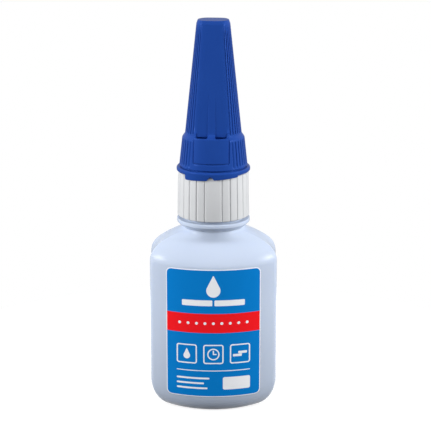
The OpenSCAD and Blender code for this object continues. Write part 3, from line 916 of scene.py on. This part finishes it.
def hdpe_blown():
    """Blow-moulded HDPE: milky, softly lit from within, with the low waviness of a blown skin. Shade is
    painted into
    its colour: darker down the wall from the liquid's level, and pale again at the foot."""
    material, tree = new_tree("hdpe_blow_moulded_pale_blue")
    empty, rough, normal = moulded_skin(
        tree, ("#C0CCDF", "#C5D0E2"), (0.2, 0.26), patch_mm=14, grain_mm=1.6, relief_mm=0.012)
    # The wall's own colour above gets painted shade below: darker from the liquid's level down, fading out at
    # the foot
    place = add(tree, "ShaderNodeTexCoord").outputs["Object"]
    height = add(tree, "ShaderNodeSeparateXYZ", {"Vector": place}).outputs["Z"]
    limits = {"Value": height, "From Min": liquid_high[2] * MM, "From Max": DARKEST_PAINTED_SHADE_Z * MM}
    depth = add(tree, "ShaderNodeMapRange", limits).outputs["Result"]
    limits = {"Value": height, "From Min": FOOT_UNSHADED_Z * MM, "From Max": WALL_SHADED_Z * MM}
    shade_above_foot = add(tree, "ShaderNodeMapRange", limits).outputs["Result"]
    painted_shade = add(tree, "ShaderNodeMath", {0: depth, 1: shade_above_foot}, operation="MULTIPLY").outputs[0]
    # Colour of the painted shade, mixed over the wall's own colour by its share
    blend = {SHARE: painted_shade, FIRST: empty, SECOND: linear("#B3BECF")}
    colour = add(tree, "ShaderNodeMix", blend, data_type="RGBA").outputs[RESULT]
    finish_with(tree, {
        "Base Color": colour, "Roughness": rough, "Normal": normal, "IOR": 1.54, "Specular IOR Level": 0.27,
        "Subsurface Weight": 0.2, "Subsurface Radius": (1.0, 1.1, 1.4), "Subsurface Scale": 0.9 * MM,
    })
    return material


def pp_cap():
    """Injection-moulded PP, deep blue: even colour and a satin skin that catches light along its edges."""
    material, tree = new_tree("pp_moulded_deep_blue")
    colour, rough, normal = moulded_skin(
        tree, ("#1D4394", "#204798"), (0.25, 0.33), patch_mm=6, grain_mm=0.5, relief_mm=0.006)
    finish_with(tree, {
        "Base Color": colour, "Roughness": rough, "Normal": normal, "IOR": 1.49, "Specular IOR Level": 0.45,
        "Specular Tint": linear("#6C96F0"),
    })
    return material


def pp_collar():
    """Injection-moulded PP, white: a neutral body with a little light in its thin edges."""
    material, tree = new_tree("pp_moulded_white")
    colour, rough, normal = moulded_skin(
        tree, ("#D0D1D2", "#D6D7D7"), (0.36, 0.48), patch_mm=5, grain_mm=0.5, relief_mm=0.006)
    finish_with(tree, {
        "Base Color": colour, "Roughness": rough, "Normal": normal, "IOR": 1.49, "Subsurface Weight": 0.1,
        "Subsurface Radius": (0.8, 0.8, 0.8), "Subsurface Scale": 0.6 * MM,
    })
    return material


def ldpe_spout():
    """Injection-moulded natural LDPE: waxy, translucent white."""
    material, tree = new_tree("ldpe_moulded_natural")
    colour, rough, normal = moulded_skin(
        tree, ("#CFD2CE", "#D6D9D5"), (0.3, 0.42), patch_mm=7, grain_mm=0.6, relief_mm=0.008)
    finish_with(tree, {
        "Base Color": colour, "Roughness": rough, "Normal": normal, "IOR": 1.51, "Subsurface Weight": 0.35,
        "Subsurface Radius": (1.2, 1.2, 1.1), "Subsurface Scale": 1.0 * MM,
    })
    return material


def drawn_steel():
    """Drawn stainless wire: bright, with fine lines along its length, drawn coarse enough to show."""
    material, tree = new_tree("stainless_drawn_wire")
    colour, rough, normal = moulded_skin(
        tree, ("#A9ABAD", "#BFC1C3"), (0.2, 0.34), patch_mm=0.5, grain_mm=0.12, relief_mm=0.004,
        stretch=(1, 1, 0.03))
    finish_with(tree, {"Base Color": colour, "Roughness": rough, "Normal": normal, "Metallic": 1.0})
    return material


def clear_adhesive():
    """Liquid cyanoacrylate: water-clear with a trace of straw, and a still, glossy surface."""
    material, tree = new_tree("cyanoacrylate_liquid_clear")
    colour, rough, normal = moulded_skin(
        tree, ("#F4F4E8", "#F8F8F0"), (0.01, 0.04), patch_mm=9, grain_mm=4, relief_mm=0.004)
    finish_with(tree, {
        "Base Color": colour, "Roughness": rough, "Normal": normal, "IOR": 1.45, "Transmission Weight": 0.9,
    })
    return material


def printed_film():
    """Printed PP film under a satin varnish: flat inks with crisp edges, faintly uneven as from a roller."""
    material, tree = new_tree("pp_film_printed_varnished")
    colour, rough, normal = moulded_skin(
        tree, ("#007BC9", "#027FCF"), (0.38, 0.46), patch_mm=3, grain_mm=0.4, relief_mm=0.002)
    for ink, shade in (("red_ink", "#FA1A22"), ("white_ink", "#FAFBFD")):
        edge = add(tree, "ShaderNodeAttribute", attribute_name=ink).outputs["Fac"]
        limits = {"Value": edge, "From Min": INK_EDGE, "From Max": -INK_EDGE}
        cover = add(tree, "ShaderNodeMapRange", limits).outputs["Result"]
        blend = {SHARE: cover, FIRST: colour, SECOND: linear(shade)}
        colour = add(tree, "ShaderNodeMix", blend, data_type="RGBA").outputs[RESULT]
    finish_with(tree, {
        "Base Color": colour, "Roughness": rough, "Normal": normal, "IOR": 1.46, "Specular IOR Level": 0.15,
    })
    return material


# Stage: a round pale floor, a dim room, lamps and the photo's camera
STAGE_R, STAGE_T = 110, 3
FLOOR_GLOW = 0.78
BACKDROP_Y = 0.97
LAMP_AIM = (0, 0, 0.06)


def seen_directly(tree):
    """1 for rays that show the background itself: from the camera, or through a mirror or clear surface."""
    path = add(tree, "ShaderNodeLightPath").outputs
    rays = {0: path["Is Camera Ray"], 1: path["Is Glossy Ray"]}
    seen = add(tree, "ShaderNodeMath", rays, operation="MAXIMUM").outputs[0]
    rays = {0: seen, 1: path["Is Transmission Ray"]}
    return add(tree, "ShaderNodeMath", rays, operation="MAXIMUM").outputs[0]


def make_floor():
    """Round pale floor: matt for light that it sends on, and white where it is seen, with the shadow kept."""
    floor = skin("floor", rings(STAGE_R, np.array([[-STAGE_T], [0]]), even_angles(96)))
    material, tree = new_tree("floor_pale_matt")
    matt = add(tree, "ShaderNodeBsdfDiffuse", {"Color": linear("#2A2A2C")})
    shade = add(tree, "ShaderNodeBsdfDiffuse", {"Color": linear("#A0A0A0")})
    glow = add(tree, "ShaderNodeEmission", {"Strength": FLOOR_GLOW})
    white = add(tree, "ShaderNodeAddShader", {0: shade.outputs[0], 1: glow.outputs[0]})
    mix = add(tree, "ShaderNodeMixShader", {0: seen_directly(tree), 1: matt.outputs[0], 2: white.outputs[0]})
    add(tree, "ShaderNodeOutputMaterial", {"Surface": mix.outputs[0]})
    floor.data.materials.append(material)


def make_world():
    """Dim studio round the object, darker below. Seen directly it is white, and in reflections the white is
    only the backdrop behind the object and below eye level, so that the plastic's rims stay dark."""
    world = bpy.data.worlds.new("studio")
    bpy.context.scene.world = world
    world.use_nodes = True
    tree = world.node_tree
    tree.nodes.clear()
    path = add(tree, "ShaderNodeLightPath").outputs
    direction = add(tree, "ShaderNodeTexCoord").outputs["Generated"]
    ahead = add(tree, "ShaderNodeSeparateXYZ", {"Vector": direction}).outputs
    behind = add(tree, "ShaderNodeMath", {0: ahead["Y"], 1: BACKDROP_Y}, operation="GREATER_THAN").outputs[0]
    low = add(tree, "ShaderNodeMath", {0: ahead["Z"], 1: 0.0}, operation="LESS_THAN").outputs[0]
    backdrop = add(tree, "ShaderNodeMath", {0: behind, 1: low}, operation="MULTIPLY").outputs[0]
    rays = {0: path["Is Glossy Ray"], 1: backdrop}
    mirrored = add(tree, "ShaderNodeMath", rays, operation="MULTIPLY").outputs[0]
    rays = {0: path["Is Camera Ray"], 1: path["Is Transmission Ray"]}
    seen = add(tree, "ShaderNodeMath", rays, operation="MAXIMUM").outputs[0]
    seen = add(tree, "ShaderNodeMath", {0: seen, 1: mirrored}, operation="MAXIMUM").outputs[0]
    limits = {"Value": ahead["Z"], "From Min": -0.5, "From Max": 0.5}
    height = add(tree, "ShaderNodeMapRange", limits).outputs["Result"]
    blend = {SHARE: height, FIRST: linear("#6C6E71"), SECOND: linear("#C0C2C7")}
    room = add(tree, "ShaderNodeMix", blend, data_type="RGBA").outputs[RESULT]
    blend = {SHARE: seen, FIRST: room, SECOND: linear("#FFFFFF")}
    colour = add(tree, "ShaderNodeMix", blend, data_type="RGBA").outputs[RESULT]
    background = add(tree, "ShaderNodeBackground", {"Color": colour})
    add(tree, "ShaderNodeOutputWorld", {"Surface": background.outputs[0]})


def make_lamp(name, place, size, power, mirrored=True):
    """Soft box that faces the middle of the bottle; place and size are in metres. One that is not mirrored
    lights the object but leaves no glare on it."""
    lamp = bpy.data.lights.new(name, "AREA")
    lamp.shape = "RECTANGLE"
    lamp.size, lamp.size_y = size
    lamp.energy = power
    item = bpy.data.objects.new(name, lamp)
    item.location = place
    aim = Vector(LAMP_AIM) - Vector(place)
    item.rotation_euler = aim.to_track_quat("-Z", "Y").to_euler()
    item.visible_camera = False
    item.visible_glossy = mirrored
    bpy.context.scene.collection.objects.link(item)


def make_camera():
    """Camera of the photo: long lens, a little above the bottle, aimed at its middle."""
    pitch = math.radians(14.94)
    distance = 0.458
    aim = (0.0006, 0, 0.0555)
    focal_px, image_px = 1600, 431
    camera = bpy.data.cameras.new("camera")
    camera.sensor_width = 36
    camera.lens = focal_px / image_px * camera.sensor_width
    item = bpy.data.objects.new("camera", camera)
    item.location = (aim[0], aim[1] - distance * math.cos(pitch), aim[2] + distance * math.sin(pitch))
    item.rotation_euler = (math.pi / 2 - pitch, 0, 0)
    bpy.context.scene.collection.objects.link(item)
    bpy.context.scene.camera = item


# Pieces: what each is, the body it rides on, the node it stands for, its slot and its material
film = printed_film()
for piece, body, node, slot, material in (
    (make_bottle(), "bottle", "bottle", "bottle_plastic", hdpe_blown()),
    (make_adhesive(), "bottle", "adhesive", "adhesive_liquid", clear_adhesive()),
    (make_label("label_front", front_print, False), "bottle", "front_label", "label_film", film),
    (make_label("label_rear", rear_print, True), "bottle", "rear_label", "label_film", film),
    (make_nozzle(), "nozzle", "nozzle", "nozzle_plastic", ldpe_spout()),
    (make_collar(), "collar", "ribbed_collar", "collar_plastic", pp_collar()),
    (make_pin(), "cap_pin", "cap_pin", "pin_steel", drawn_steel()),
    (make_cap(), "cap", "cap", "cap_plastic", pp_cap()),
):
    piece.data.materials.append(material)
    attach(piece, body)
    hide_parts(node)

make_floor()
make_world()
make_lamp("softbox_left", (-0.42, -0.1, 0.22), (0.25, 0.25), 1.68, mirrored=False)
make_lamp("softbox_right", (0.42, -0.1, 0.22), (0.25, 0.25), 1.75, mirrored=False)
make_lamp("softbox_front", (0, -0.3, 0.36), (0.3, 0.2), 0.08)
make_lamp("glint_left", (-0.39, -0.17, 0.2), (0.08, 0.1), 0.42)
make_lamp("glint_right", (0.39, -0.17, 0.2), (0.08, 0.1), 0.42)
make_camera()
bpy.context.scene.view_settings.view_transform = "Standard"
